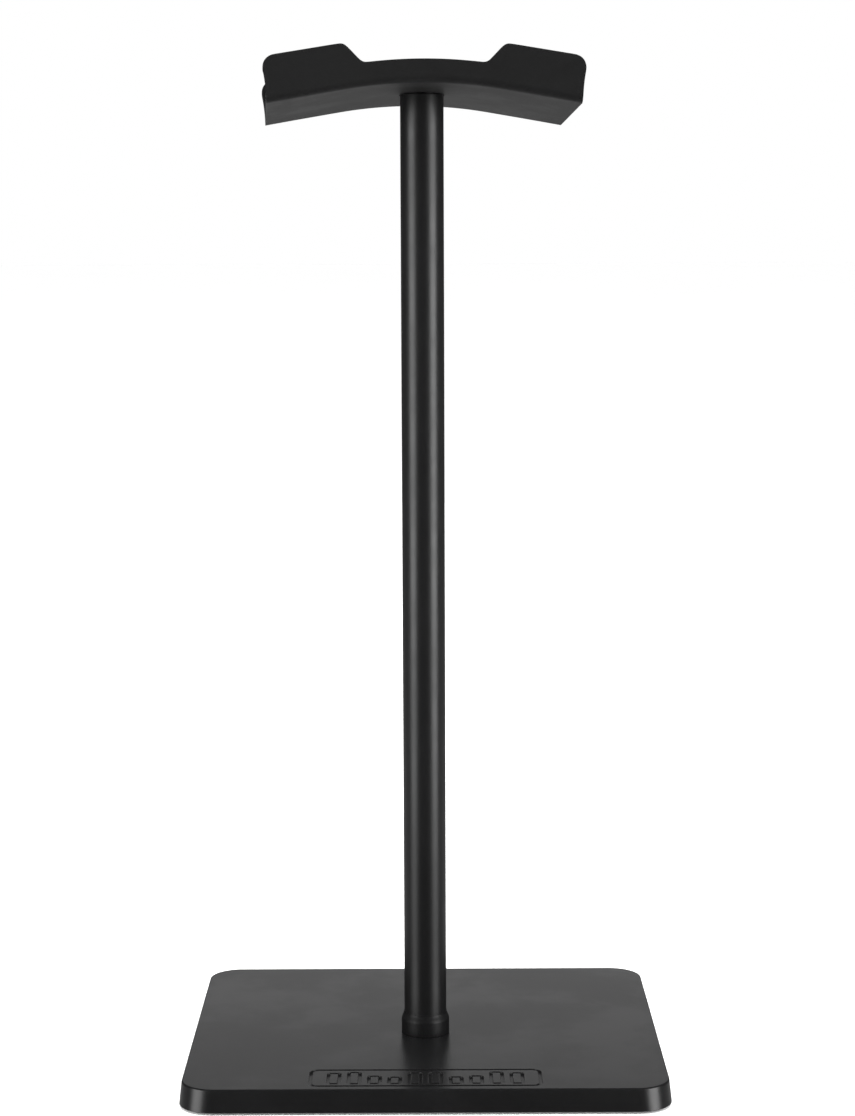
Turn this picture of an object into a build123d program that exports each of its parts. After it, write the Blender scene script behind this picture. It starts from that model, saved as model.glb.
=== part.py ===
from build123d import *
import os
from math import asin, atan, cos, degrees, radians, tan

# Headphone stand: a weighted flat base, a slim round pole and a soft saddle that turns on the pole's end.
# Millimetres, +Z up, the front towards -Y. The origin is on the desk, under the middle of the base.

# Base
base_width = 115.0
base_depth = 102.0
base_corner = 8.2
base_height = 5.5
base_flare = 0.55
base_edge = 0.45
rim_wall = 2.2
roof_thickness = 1.6
foot_lift = 0.6
base_top = foot_lift + base_height
cavity_roof = base_top - roof_thickness

# Badge engraved on the base, near its front edge
badge_width = 55.0
badge_depth = 12.6
badge_corner = 2.4
badge_front_gap = 2.3
badge_line = 0.8
engraving_depth = 0.45
cut_over = 0.1
badge_bars = 10
badge_bar_pitch = 4.8
badge_bar_width = 3.4
badge_bar_shortest = 3.6
badge_bar_tallest = 9.2
badge_bar_foot = 1.7
badge_wave = 47.0

# Bottom plate, ballast and feet
plate_thickness = 1.4
plate_gap = 0.15
plate_top = foot_lift + plate_thickness
ballast_gap = 0.6
foot_radius = 6.0
foot_thickness = 1.2
foot_inset = 11.5
screw_spacing_x = 76.0
screw_spacing_y = 64.0
plate_screw_radius = 0.85
plate_screw_head_radius = 1.9
plate_screw_head_height = 1.0
plate_screw_length = 3.6
screw_boss_radius = 2.8
access_hole_radius = 8.6
plate_screw_clearance = 0.02
plate_screw_head_recess = 0.1
plate_screw_tip_gap = 0.4
cross_recess_length = 2.0
cross_recess_width = 0.45
cross_recess_depth = 0.5

# Pole
pole_y = -6.0
pole_radius = 5.2
pole_wall = 1.0
pole_top = base_top + 230.5
pole_inner = pole_radius - pole_wall
slide_gap = 0.02
pole_end_chamfer = 0.3
insert_radius = pole_inner - slide_gap
lower_insert_length = 18.0
upper_insert_length = 16.0
collar_radius = 5.9
collar_height = 5.5
collar_taper = 1.5
collar_shoulder = 1.2
collar_lip = 0.15

# Pole bolt, from below
bolt_radius = 3.0
bolt_length = 18.0
bolt_head_radius = 5.4
bolt_head_height = 1.6
bolt_socket = 4.0
bolt_washer_radius = 7.0
bolt_washer_thickness = 0.6
bolt_pad_radius = 10.0
bolt_pad_bottom = cavity_roof - 0.8
bolt_head_edge = 0.5
bolt_point = 0.6
socket_run_on = 0.4
lock_washer_step = 0.3
lock_washer_split = 0.8
fit_gap = 0.05

# Saddle: its floor is an arc with two straight wings, and a flange stands along its front and its back
saddle_turn = 3.7
saddle_lean = 4.6
saddle_z = base_top + 230.2
saddle_depth = 48.0
saddle_length = 75.2
saddle_end_bow = -0.6
saddle_offset = -0.7
saddle_height = 10.5
saddle_floor = 3.8
flange_wall = 2.8
flange_corner = 3.0
arc_radius = 110.0
arc_half = 18.0
outer_bend = 2.0
inner_bend = 1.2
notch_width_top = 37.2
notch_width_bottom = 28.9
notch_level = 5.3
notch_corner = 1.6
notch_over = 2.0
trim_over = 1.0
flange_over = 0.1
bend_tolerance = 0.01
bend_level_tolerance = 0.3
socket_radius = 5.45

# Swivel: a screw through a stiff core in the saddle's floor
swivel_washer_thickness = 0.3
swivel_washer_step = 0.4
core_disc_radius = 12.0
core_disc_bottom = 1.15
core_disc_thickness = 1.2
core_pocket_radius = 4.5
core_pocket_floor = 1.4
swivel_screw_radius = 2.0
swivel_screw_length = 14.0
swivel_head_radius = 3.6
swivel_head_height = 0.7
swivel_head_edge = 0.25
swivel_head_socket = 2.0
wave_washer_thickness = 0.3
wave_washer_step = 0.3
top_washer_thickness = 0.3
top_washer_step = 0.1
cover_gap = 0.1

pole_axis = Plane((0, pole_y, 0))
saddle_x = Vector(1, 0, 0).rotate(Axis.Z, saddle_turn)
saddle_z_dir = Vector(0, 0, 1).rotate(Axis.X, -saddle_lean).rotate(Axis.Z, saddle_turn)
saddle_plane = Plane((saddle_offset, pole_y, saddle_z), x_dir=saddle_x, z_dir=saddle_z_dir)
saddle_front = Plane(saddle_plane.origin, x_dir=saddle_x, z_dir=-saddle_plane.y_dir)

os.makedirs("parts", exist_ok=True)


def finish(builder, name):
    """Label a finished piece and write its STEP file."""
    builder.part.label = name
    export_step(builder.part, f"parts/{name}.step")


def ring(plane_z, thickness, outer, inner):
    """A flat washer on the pole's axis."""
    with BuildPart() as washer:
        with BuildSketch(pole_axis.offset(plane_z)):
            Circle(outer)
            Circle(inner, mode=Mode.SUBTRACT)
        extrude(amount=thickness)
    return washer


# ---------------------------------------------------------------- base shell
bottom_width = base_width + 2 * base_flare
bottom_depth = base_depth + 2 * base_flare
cavity_width = base_width - 2 * rim_wall
cavity_depth = base_depth - 2 * rim_wall
cavity_corner = base_corner - rim_wall
badge_y = -base_depth / 2 + badge_front_gap + badge_depth / 2

with BuildPart() as base_shell:
    with BuildSketch(Plane.XY.offset(foot_lift)):
        RectangleRounded(bottom_width, bottom_depth, base_corner + base_flare)
    extrude(amount=base_height, taper=degrees(atan(base_flare / base_height)))
    fillet(base_shell.edges().group_by(Axis.Z)[-1], base_edge)
    with BuildSketch(Plane.XY.offset(foot_lift)):
        RectangleRounded(cavity_width, cavity_depth, cavity_corner)
    extrude(amount=cavity_roof - foot_lift, mode=Mode.SUBTRACT)
    with BuildSketch(Plane.XY.offset(plate_top)):
        with GridLocations(screw_spacing_x, screw_spacing_y, 2, 2):
            Circle(screw_boss_radius)
    extrude(amount=cavity_roof - plate_top)
    with BuildSketch(pole_axis.offset(bolt_pad_bottom)):
        Circle(bolt_pad_radius)
    extrude(amount=cavity_roof - bolt_pad_bottom)
    with BuildSketch(Plane.XY.offset(plate_top)):
        with GridLocations(screw_spacing_x, screw_spacing_y, 2, 2):
            Circle(plate_screw_radius)
    extrude(amount=plate_screw_length - plate_thickness, mode=Mode.SUBTRACT)
    with BuildSketch(pole_axis.offset(foot_lift)):
        Circle(bolt_radius + fit_gap)
    extrude(amount=base_height, mode=Mode.SUBTRACT)
    with BuildSketch(Plane.XY.offset(base_top - engraving_depth)):
        with Locations((0, badge_y)):
            RectangleRounded(badge_width, badge_depth, badge_corner)
            RectangleRounded(
                badge_width - 2 * badge_line,
                badge_depth - 2 * badge_line,
                badge_corner - badge_line,
                mode=Mode.SUBTRACT,
            )
        for bar in range(badge_bars):
            step = bar - (badge_bars - 1) / 2
            swing = abs(cos(radians(step * badge_wave)))
            bar_height = badge_bar_shortest + (badge_bar_tallest - badge_bar_shortest) * swing
            bar_y = badge_y - badge_depth / 2 + badge_bar_foot + bar_height / 2
            with Locations((step * badge_bar_pitch, bar_y)):
                RectangleRounded(badge_bar_width, bar_height, badge_line)
                Rectangle(
                    badge_bar_width - 2 * badge_line, bar_height - 2 * badge_line, mode=Mode.SUBTRACT
                )
    extrude(amount=engraving_depth + cut_over, mode=Mode.SUBTRACT)
finish(base_shell, "base_shell")

# ---------------------------------------------------------------- ballast and bottom plate
with BuildPart() as ballast_plate:
    with BuildSketch(Plane.XY.offset(plate_top)):
        RectangleRounded(
            cavity_width - 2 * ballast_gap, cavity_depth - 2 * ballast_gap, cavity_corner - ballast_gap
        )
        with GridLocations(screw_spacing_x, screw_spacing_y, 2, 2):
            Circle(screw_boss_radius + ballast_gap, mode=Mode.SUBTRACT)
        with Locations((0, pole_y)):
            Circle(bolt_pad_radius + ballast_gap, mode=Mode.SUBTRACT)
    extrude(amount=cavity_roof - plate_top)
finish(ballast_plate, "ballast_plate")

foot_spacing_x = bottom_width - 2 * foot_inset
foot_spacing_y = bottom_depth - 2 * foot_inset

with BuildPart() as bottom_plate:
    with BuildSketch(Plane.XY.offset(foot_lift)):
        RectangleRounded(
            cavity_width - 2 * plate_gap, cavity_depth - 2 * plate_gap, cavity_corner - plate_gap
        )
        with Locations((0, pole_y)):
            Circle(access_hole_radius, mode=Mode.SUBTRACT)
    extrude(amount=plate_thickness)
    with BuildSketch(Plane.XY.offset(foot_lift)):
        with GridLocations(foot_spacing_x, foot_spacing_y, 2, 2):
            Circle(foot_radius + plate_gap)
    extrude(amount=foot_thickness - foot_lift, mode=Mode.SUBTRACT)
    with Locations(Plane.XY.offset(foot_lift).rotated((180, 0, 0))):
        with GridLocations(screw_spacing_x, screw_spacing_y, 2, 2):
            CounterSinkHole(
                plate_screw_radius + fit_gap, plate_screw_head_radius + fit_gap, plate_thickness
            )
finish(bottom_plate, "bottom_plate")

# ---------------------------------------------------------------- feet
foot_names = {
    "foot_front_left": (-1, -1),
    "foot_front_right": (1, -1),
    "foot_back_left": (-1, 1),
    "foot_back_right": (1, 1),
}
for foot_name, (side, end) in foot_names.items():
    with BuildPart() as foot:
        with BuildSketch(Plane((side * foot_spacing_x / 2, end * foot_spacing_y / 2, 0))):
            Circle(foot_radius)
        extrude(amount=foot_thickness)
        fillet(foot.edges().group_by(Axis.Z)[0], foot_lift / 2)
    finish(foot, foot_name)

# ---------------------------------------------------------------- bottom plate screws
head_bottom = foot_lift + plate_screw_head_recess
head_radius = plate_screw_head_radius - plate_screw_head_recess
with BuildPart() as bottom_plate_screws:
    with BuildSketch(Plane.XY.offset(head_bottom)):
        with GridLocations(screw_spacing_x, screw_spacing_y, 2, 2):
            Circle(head_radius)
    extrude(
        amount=plate_screw_head_height,
        taper=degrees(atan((head_radius - plate_screw_radius) / plate_screw_head_height)),
    )
    with BuildSketch(Plane.XY.offset(head_bottom)):
        with GridLocations(screw_spacing_x, screw_spacing_y, 2, 2):
            Circle(plate_screw_radius - plate_screw_clearance)
    extrude(amount=plate_screw_length - plate_screw_tip_gap)
    with BuildSketch(Plane.XY.offset(head_bottom)):
        with GridLocations(screw_spacing_x, screw_spacing_y, 2, 2):
            Rectangle(cross_recess_length, cross_recess_width)
            Rectangle(cross_recess_width, cross_recess_length)
    extrude(amount=cross_recess_depth, mode=Mode.SUBTRACT)
finish(bottom_plate_screws, "bottom_plate_screws")

# ---------------------------------------------------------------- pole bolt and its washers
washer_bottom = bolt_pad_bottom - bolt_washer_thickness
spring_bottom = washer_bottom - bolt_washer_thickness
bolt_head_bottom = spring_bottom - bolt_head_height

with BuildPart() as pole_bolt:
    with BuildSketch(pole_axis.offset(bolt_head_bottom)):
        Circle(bolt_head_radius)
    extrude(amount=bolt_head_height)
    fillet(pole_bolt.edges().group_by(Axis.Z)[0], bolt_head_edge)
    with BuildSketch(pole_axis.offset(spring_bottom)):
        Circle(bolt_radius)
    extrude(amount=bolt_length)
    chamfer(pole_bolt.edges().group_by(Axis.Z)[-1], bolt_point)
    with BuildSketch(pole_axis.offset(bolt_head_bottom)):
        RegularPolygon(bolt_socket / 2, 6, major_radius=False)
    extrude(amount=bolt_head_height + socket_run_on, mode=Mode.SUBTRACT)
finish(pole_bolt, "pole_bolt")

pole_bolt_washer = ring(washer_bottom, bolt_washer_thickness, bolt_washer_radius, bolt_radius + fit_gap)
finish(pole_bolt_washer, "pole_bolt_washer")

with BuildPart() as pole_bolt_lock_washer:
    with BuildSketch(pole_axis.offset(spring_bottom)):
        Circle(bolt_head_radius - lock_washer_step)
        Circle(bolt_radius + fit_gap, mode=Mode.SUBTRACT)
        with Locations((bolt_head_radius, 0)):
            Rectangle(2 * bolt_head_radius, lock_washer_split, mode=Mode.SUBTRACT)
    extrude(amount=bolt_washer_thickness)
finish(pole_bolt_lock_washer, "pole_bolt_lock_washer")

# ---------------------------------------------------------------- pole, its collar and its inserts
pole_tube = ring(base_top, pole_top - base_top, pole_radius, pole_inner)
with pole_tube:
    chamfer(pole_tube.edges().group_by(Axis.Z)[-1], pole_end_chamfer)
finish(pole_tube, "pole_tube")

with BuildPart() as pole_collar:
    with BuildSketch(pole_axis.offset(base_top)):
        Circle(collar_radius)
    extrude(amount=collar_height)
    chamfer(
        pole_collar.edges().group_by(Axis.Z)[-1],
        length=collar_taper,
        length2=collar_radius - pole_radius - collar_lip,
    )
    fillet(pole_collar.edges().filter_by(GeomType.CIRCLE).sort_by(Axis.Z)[1], collar_shoulder)
    with BuildSketch(pole_axis.offset(base_top)):
        Circle(pole_radius + slide_gap)
    extrude(amount=collar_height, mode=Mode.SUBTRACT)
finish(pole_collar, "pole_collar")

lower_insert = ring(base_top, lower_insert_length, insert_radius, bolt_radius + slide_gap)
finish(lower_insert, "lower_insert")

upper_insert = ring(
    pole_top - upper_insert_length, upper_insert_length, insert_radius, swivel_screw_radius + slide_gap
)
finish(upper_insert, "upper_insert")

# ---------------------------------------------------------------- swivel
swivel_washer = ring(
    pole_top, swivel_washer_thickness, pole_radius - swivel_washer_step, swivel_screw_radius + fit_gap
)
finish(swivel_washer, "swivel_washer")

hub_bottom = pole_top + swivel_washer_thickness
hub_top = saddle_z + core_disc_bottom + core_disc_thickness
pocket_bottom = saddle_z + core_pocket_floor

with BuildPart() as saddle_core:
    with BuildSketch(saddle_plane.offset(core_disc_bottom)):
        Circle(core_disc_radius)
    extrude(amount=core_disc_thickness)
    with BuildSketch(pole_axis.offset(hub_bottom)):
        Circle(pole_radius)
    extrude(amount=hub_top - hub_bottom)
    with BuildSketch(pole_axis.offset(pocket_bottom)):
        Circle(core_pocket_radius)
    extrude(amount=saddle_floor, mode=Mode.SUBTRACT)
    with BuildSketch(pole_axis.offset(hub_bottom)):
        Circle(swivel_screw_radius + fit_gap)
    extrude(amount=saddle_floor, mode=Mode.SUBTRACT)
finish(saddle_core, "saddle_core")

swivel_wave_washer = ring(
    pocket_bottom,
    wave_washer_thickness,
    core_pocket_radius - wave_washer_step,
    swivel_screw_radius + fit_gap,
)
finish(swivel_wave_washer, "swivel_wave_washer")

top_washer_bottom = pocket_bottom + wave_washer_thickness
swivel_top_washer = ring(
    top_washer_bottom,
    top_washer_thickness,
    core_pocket_radius - top_washer_step,
    swivel_screw_radius + fit_gap,
)
finish(swivel_top_washer, "swivel_top_washer")

swivel_head_bottom = top_washer_bottom + top_washer_thickness
with BuildPart() as swivel_screw:
    with BuildSketch(pole_axis.offset(swivel_head_bottom)):
        Circle(swivel_head_radius)
    extrude(amount=swivel_head_height)
    fillet(swivel_screw.edges().group_by(Axis.Z)[-1], swivel_head_edge)
    with BuildSketch(pole_axis.offset(swivel_head_bottom)):
        Circle(swivel_screw_radius)
    extrude(amount=-swivel_screw_length)
    with BuildSketch(pole_axis.offset(swivel_head_bottom + swivel_head_height)):
        RegularPolygon(swivel_head_socket / 2, 6, major_radius=False)
    extrude(amount=-swivel_head_height, mode=Mode.SUBTRACT)
finish(swivel_screw, "swivel_screw")

# ---------------------------------------------------------------- soft saddle
wing_slope = asin(arc_half / arc_radius)
arc_drop = arc_radius - arc_radius * cos(wing_slope)
half_length = saddle_length / 2
half_depth = saddle_depth / 2
wing_reach = half_length + trim_over


def underside(x):
    """Height of the saddle's underside at a distance from its middle, with the middle at zero."""
    if abs(x) <= arc_half:
        return arc_radius * cos(asin(x / arc_radius)) - arc_radius
    return -arc_drop - (abs(x) - arc_half) * tan(wing_slope)


def saddle_curve(level, reach):
    """The underside's curve, raised to a level, from one wing to the other."""
    Line((-reach, level + underside(reach)), (-arc_half, level - arc_drop))
    ThreePointArc((-arc_half, level - arc_drop), (0, level), (arc_half, level - arc_drop))
    Line((arc_half, level - arc_drop), (reach, level + underside(reach)))


def close_ends(reach, thickness):
    """Straight ends that join two of the underside's curves."""
    for side in (-1, 1):
        low = underside(reach)
        Line((side * reach, low), (side * reach, low + thickness))


flange_reach = half_length + flange_over
notch_top_half = notch_width_top / 2
notch_bottom_half = notch_width_bottom / 2
notch_bottom = notch_level + underside(notch_bottom_half)
notch_rise = saddle_height + underside(notch_top_half) - notch_bottom
notch_spread = (notch_top_half - notch_bottom_half) / notch_rise
notch_top = saddle_height + notch_over
notch_open_half = notch_bottom_half + notch_spread * (notch_top - notch_bottom)

with BuildPart() as soft_saddle:
    with BuildSketch(saddle_front):
        with BuildLine():
            saddle_curve(0, wing_reach)
            saddle_curve(saddle_floor, wing_reach)
            close_ends(wing_reach, saddle_floor)
        make_face()
    extrude(amount=half_depth, both=True)
    for inner_face in (half_depth - flange_wall, -half_depth):
        with BuildSketch(saddle_front.offset(inner_face)) as flange_section:
            with BuildLine():
                saddle_curve(0, flange_reach)
                saddle_curve(saddle_height, flange_reach)
                close_ends(flange_reach, saddle_height)
            make_face()
            outer_corners = flange_section.vertices().group_by(Axis.X)
            fillet(outer_corners[0].sort_by(Axis.Y)[-1], flange_corner)
            fillet(outer_corners[-1].sort_by(Axis.Y)[-1], flange_corner)
            with BuildLine():
                ThreePointArc(
                    (-notch_bottom_half, notch_bottom), (0, notch_level), (notch_bottom_half, notch_bottom)
                )
                Polyline(
                    (notch_bottom_half, notch_bottom),
                    (notch_open_half, notch_top),
                    (-notch_open_half, notch_top),
                    (-notch_bottom_half, notch_bottom),
                )
            make_face(mode=Mode.SUBTRACT)
            notch_points = flange_section.vertices().filter_by(
                lambda point: abs(point.X) < notch_top_half + notch_over and point.Y > saddle_floor
            )
            fillet(notch_points, notch_corner)
        extrude(amount=flange_wall)
    with BuildSketch(saddle_plane.offset(-saddle_height)):
        with BuildLine():
            for side in (-1, 1):
                ThreePointArc(
                    (side * half_length, -half_depth),
                    (side * (half_length + saddle_end_bow), 0),
                    (side * half_length, half_depth),
                )
                Line((-half_length, side * half_depth), (half_length, side * half_depth))
        make_face()
    extrude(amount=3 * saddle_height, mode=Mode.INTERSECT)

    outer_bends = []
    inner_bends = []
    for edge in soft_saddle.edges():
        middle = saddle_plane.to_local_coords(edge.center())
        along = abs(edge.length) > arc_half
        level = middle.Z - underside(middle.X)
        outside = abs(abs(middle.Y) - half_depth) < bend_tolerance
        inside = abs(abs(middle.Y) - half_depth + flange_wall) < bend_tolerance
        if along and outside and abs(level) < bend_level_tolerance:
            outer_bends.append(edge)
        if along and inside and abs(level - saddle_floor) < bend_level_tolerance:
            inner_bends.append(edge)
    fillet(outer_bends, outer_bend)
    fillet(inner_bends, inner_bend)

    with BuildSketch(pole_axis.offset(hub_bottom)):
        Circle(pole_radius)
    extrude(amount=2 * saddle_floor, mode=Mode.SUBTRACT)
    with BuildSketch(pole_axis.offset(hub_bottom)):
        Circle(socket_radius)
    extrude(amount=-saddle_floor, mode=Mode.SUBTRACT)
    with BuildSketch(saddle_plane.offset(core_disc_bottom)):
        Circle(core_disc_radius)
    extrude(amount=core_disc_thickness, mode=Mode.SUBTRACT)
finish(soft_saddle, "soft_saddle")

# ---------------------------------------------------------------- cover over the swivel screw
cover_bottom = swivel_head_bottom + swivel_head_height + cover_gap
with BuildPart() as screw_cover:
    with BuildSketch(pole_axis.offset(cover_bottom)):
        Circle(pole_radius - cover_gap)
    extrude(amount=saddle_floor)
    split(bisect_by=saddle_plane.offset(saddle_floor), keep=Keep.BOTTOM)
finish(screw_cover, "screw_cover")
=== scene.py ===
"""Builds a headphone stand's visible pieces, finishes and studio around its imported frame."""

from math import asin, cos, pi, radians, sin, sqrt, tan

import bmesh
import bpy
from mathutils import Matrix, Vector


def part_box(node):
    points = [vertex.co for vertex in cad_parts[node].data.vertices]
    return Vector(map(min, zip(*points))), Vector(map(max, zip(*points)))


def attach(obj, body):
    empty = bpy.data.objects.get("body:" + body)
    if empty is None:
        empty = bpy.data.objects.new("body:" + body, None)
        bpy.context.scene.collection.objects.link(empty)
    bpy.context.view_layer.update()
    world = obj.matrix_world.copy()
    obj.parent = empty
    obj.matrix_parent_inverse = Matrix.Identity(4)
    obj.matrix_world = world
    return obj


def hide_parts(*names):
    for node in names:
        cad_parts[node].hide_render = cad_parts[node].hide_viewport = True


bl_info = {
    "name": "Headphone Stand",
    "version": (1, 0, 0),
    "blender": (4, 5, 0),
    "location": "3D View > Sidebar > Stand",
    "description": "Pieces, finishes and studio of a headphone stand with a turning soft cradle",
    "category": "Object",
}

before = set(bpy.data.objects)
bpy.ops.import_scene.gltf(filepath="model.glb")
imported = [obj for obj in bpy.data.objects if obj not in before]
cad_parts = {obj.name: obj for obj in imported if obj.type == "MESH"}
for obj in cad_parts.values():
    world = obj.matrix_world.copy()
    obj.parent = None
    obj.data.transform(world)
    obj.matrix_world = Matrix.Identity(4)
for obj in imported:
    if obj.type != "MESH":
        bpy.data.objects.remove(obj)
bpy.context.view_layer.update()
MM = 0.001

STAND = "stand"
CRADLE = "cradle"
WHITE = (1.0, 1.0, 1.0)


def middle_of(node):
    """Centre of a CAD node at rest."""
    low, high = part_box(node)
    return (Vector(low) + Vector(high)) / 2


POLE_MIDDLE = middle_of("pole_tube")
POLE_AXIS = Vector((POLE_MIDDLE.x, POLE_MIDDLE.y, 0.0))
POLE_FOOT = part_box("pole_tube")[0][2]
POLE_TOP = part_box("pole_tube")[1][2]
POLE_RADIUS = (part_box("pole_tube")[1][0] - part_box("pole_tube")[0][0]) / 2
SCREW_HEAD_RADIUS = 1.8 * MM

# Points closer than these are one point, in a turned shape and in a carried-over mesh.
TURNED_MERGE = 1e-7
CARRIED_MERGE = MM / 1000


# ------------------------------------------------------------------ settings
def length(name, description, millimetres):
    """A size in metres, given in millimetres."""
    return bpy.props.FloatProperty(
        name=name, description=description, default=millimetres * MM,
        subtype="DISTANCE", unit="LENGTH", precision=5,
    )


def turn(name, description, degrees):
    """An angle, given in degrees."""
    return bpy.props.FloatProperty(
        name=name, description=description, default=radians(degrees), subtype="ANGLE", unit="ROTATION"
    )


def colour(name, description, red, green, blue):
    """A linear colour."""
    return bpy.props.FloatVectorProperty(
        name=name, description=description, default=(red, green, blue),
        size=3, min=0.0, max=1.0, subtype="COLOR",
    )


class STAND_PG_cradle(bpy.types.PropertyGroup):
    """Sizes of the soft cradle, in its own directions."""

    length: length("Length", "End to end, along a flange", 75.2)
    depth: length("Depth", "Outside to outside of the flanges", 48.0)
    height: length("Height", "Flange top above the underside", 10.5)
    floor_wall: length("Floor wall", "Thickness of the floor", 3.8)
    flange_wall: length("Flange wall", "Thickness of a flange", 2.8)
    bend: length("Bend", "Outer radius between the floor and a flange", 2.2)
    inner_bend: length("Inner bend", "Inner radius between the floor and a flange", 1.2)
    end_bulge: length("End bulge", "How far a flange's end swells at its top", 0.4)
    end_pinch: length("End pinch", "How far each end draws in below its top", 1.10)
    offset: length("Offset", "Moulding's middle from the pole's axis, along the cradle", -0.7)
    corner: length("Corner", "Radius of a flange's outer top corner", 3.2)
    arc_radius: length("Arc radius", "Radius of the middle of the underside", 110.0)
    arc_half: length("Arc half width", "Half the width of the round middle", 18.0)
    notch_top: length("Notch width at the top", "Width of a notch at the flange's top", 37.2)
    notch_bottom: length("Notch width at the bottom", "Width of a notch at its floor", 28.9)
    notch_level: length("Notch level", "Notch floor above the underside", 5.3)
    rise: length("Rise", "Underside above the pole's end", -0.3)
    socket: length("Socket", "Radius of the hole that the pole's end turns in", 5.45)
    edge: length("Edge", "Rounding of every rim", 0.75)
    turn: turn("Turn", "Turn about the pole at rest", 3.7)
    lean: turn("Lean", "Back lower than the front", 4.6)
    tint: colour("Colour", "Soft-touch elastomer", 0.0040, 0.0040, 0.0041)


class STAND_PG_pole(bpy.types.PropertyGroup):
    """Sizes and colour of the pole and its collar."""

    wall: length("Wall", "Thickness of the tube", 1.0)
    end_edge: length("End edge", "Rounding of the tube's ends", 0.35)
    collar_step: length("Collar step", "How far the collar stands out at its top", 0.12)
    collar_shoulder: length("Collar shoulder", "Height of the collar's curved shoulder", 2.0)
    steps: bpy.props.IntProperty(name="Steps", description="Faces round the pole", default=128, min=24)
    tint: colour("Colour", "Satin coat", 0.0034, 0.0034, 0.0036)


class STAND_PG_base(bpy.types.PropertyGroup):
    """Sizes and colour of the base and its badge."""

    width: length("Width", "Top face, side to side", 115.0)
    depth: length("Depth", "Top face, front to back", 102.0)
    corner: length("Corner", "Radius of the top face's corners", 8.2)
    flare: length("Flare", "How much wider the rim's foot is, each side", 0.55)
    edge: length("Edge", "Rounding of the top edge", 0.45)
    rim: length("Rim", "Wall of the rim seen from below", 2.2)
    roof: length("Roof", "Thickness under the top face", 1.6)
    badge_width: length("Badge width", "Engraved frame, side to side", 55.0)
    badge_depth: length("Badge depth", "Engraved frame, front to back", 12.6)
    badge_corner: length("Badge corner", "Radius of the frame's corners", 2.4)
    badge_gap: length("Badge gap", "Frame behind the front edge", 2.3)
    badge_line: length("Badge line", "Width of the engraved line", 0.8)
    engraving: length("Engraving", "Depth of the engraved lines", 0.45)
    bar_pitch: length("Bar pitch", "Step from bar to bar", 4.8)
    bar_width: length("Bar width", "Width of a level bar", 3.4)
    bolt_hole: length("Bolt hole", "Radius of the hole for the pole's bolt", 3.05)
    pad: length("Pad", "Radius of the pad under the pole", 10.0)
    pad_drop: length("Pad drop", "How far the pad hangs under the roof", 0.8)
    boss: length("Boss", "Radius of a screw boss", 2.8)
    screw_hole: length("Screw hole", "Radius of a boss's hole", 0.85)
    bar_shortest: length("Shortest bar", "Length of the shortest level bar", 3.6)
    bar_tallest: length("Tallest bar", "Length of the tallest level bar", 9.2)
    bar_corner: length("Bar corner", "Radius of a bar's corners", 1.0)
    bar_foot: length("Bar foot", "Bars behind the frame's front line", 1.7)
    bars: bpy.props.IntProperty(name="Bars", description="Number of level bars", default=10, min=1)
    wave: turn("Wave", "How fast the bars' lengths rise and fall", 47.0)
    tint: colour("Colour", "Satin black moulding", 0.0036, 0.0036, 0.0038)


class STAND_PG_studio(bpy.types.PropertyGroup):
    """Camera, lights and floor."""

    lens: bpy.props.FloatProperty(name="Lens", description="Focal length in millimetres", default=86.6)
    camera_back: length("Camera distance", "Camera in front of the base's middle", 655.0)
    camera_up: length("Camera height", "Camera above the desk", 206.8)
    camera_side: length("Camera side", "Camera to the right of the base's middle", 0.95)
    camera_pitch: turn("Camera pitch", "How far the camera looks down", 7.185)
    camera_roll: turn("Camera roll", "Roll of the camera", -0.22)
    floor_tint: colour("Floor", "Pale floor", 0.90, 0.90, 0.90)


def settings(name):
    """One of the stand's groups of settings."""
    return getattr(bpy.context.scene, name)


# ------------------------------------------------------------------ node helpers
class Nodes:
    """Adds nodes to a tree and links them."""

    def __init__(self, tree):
        self.tree = tree
        self.column = 0

    def add(self, kind, inputs=None, **options):
        """A node with its options and inputs set. An input that is a socket is linked."""
        node = self.tree.nodes.new(kind)
        node.location = (self.column, 0)
        self.column += 180
        for key, value in options.items():
            setattr(node, key, value)
        for key, value in (inputs or {}).items():
            if isinstance(value, bpy.types.NodeSocket):
                self.tree.links.new(value, node.inputs[key])
            else:
                node.inputs[key].default_value = value
        return node

    def math(self, operation, first, second=0.5, clamp=False):
        """A Math node's result."""
        node = self.add("ShaderNodeMath", {0: first, 1: second}, operation=operation, use_clamp=clamp)
        return node.outputs[0]

    def ramp(self, value, low, high, to_low=0.0, to_high=1.0):
        """A smooth step of a value between two limits."""
        node = self.add(
            "ShaderNodeMapRange",
            {"Value": value, "From Min": low, "From Max": high, "To Min": to_low, "To Max": to_high},
            interpolation_type="SMOOTHSTEP",
        )
        return node.outputs["Result"]

    def noise(self, vector, scale, detail=3.0, roughness=0.5, distortion=0.0):
        """A Noise node's value."""
        values = {"Scale": scale, "Detail": detail, "Roughness": roughness, "Distortion": distortion}
        return self.add("ShaderNodeTexNoise", {"Vector": vector, **values}).outputs["Fac"]

    def blend(self, factor, first, second):
        """A number between two numbers, by a factor."""
        inputs = {"Factor": factor, "A": first, "B": second}
        return self.add("ShaderNodeMix", inputs, data_type="FLOAT").outputs["Result"]

    def place(self):
        """Where a point is on its piece, in metres."""
        return self.add("ShaderNodeTexCoord").outputs["Object"]


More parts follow.
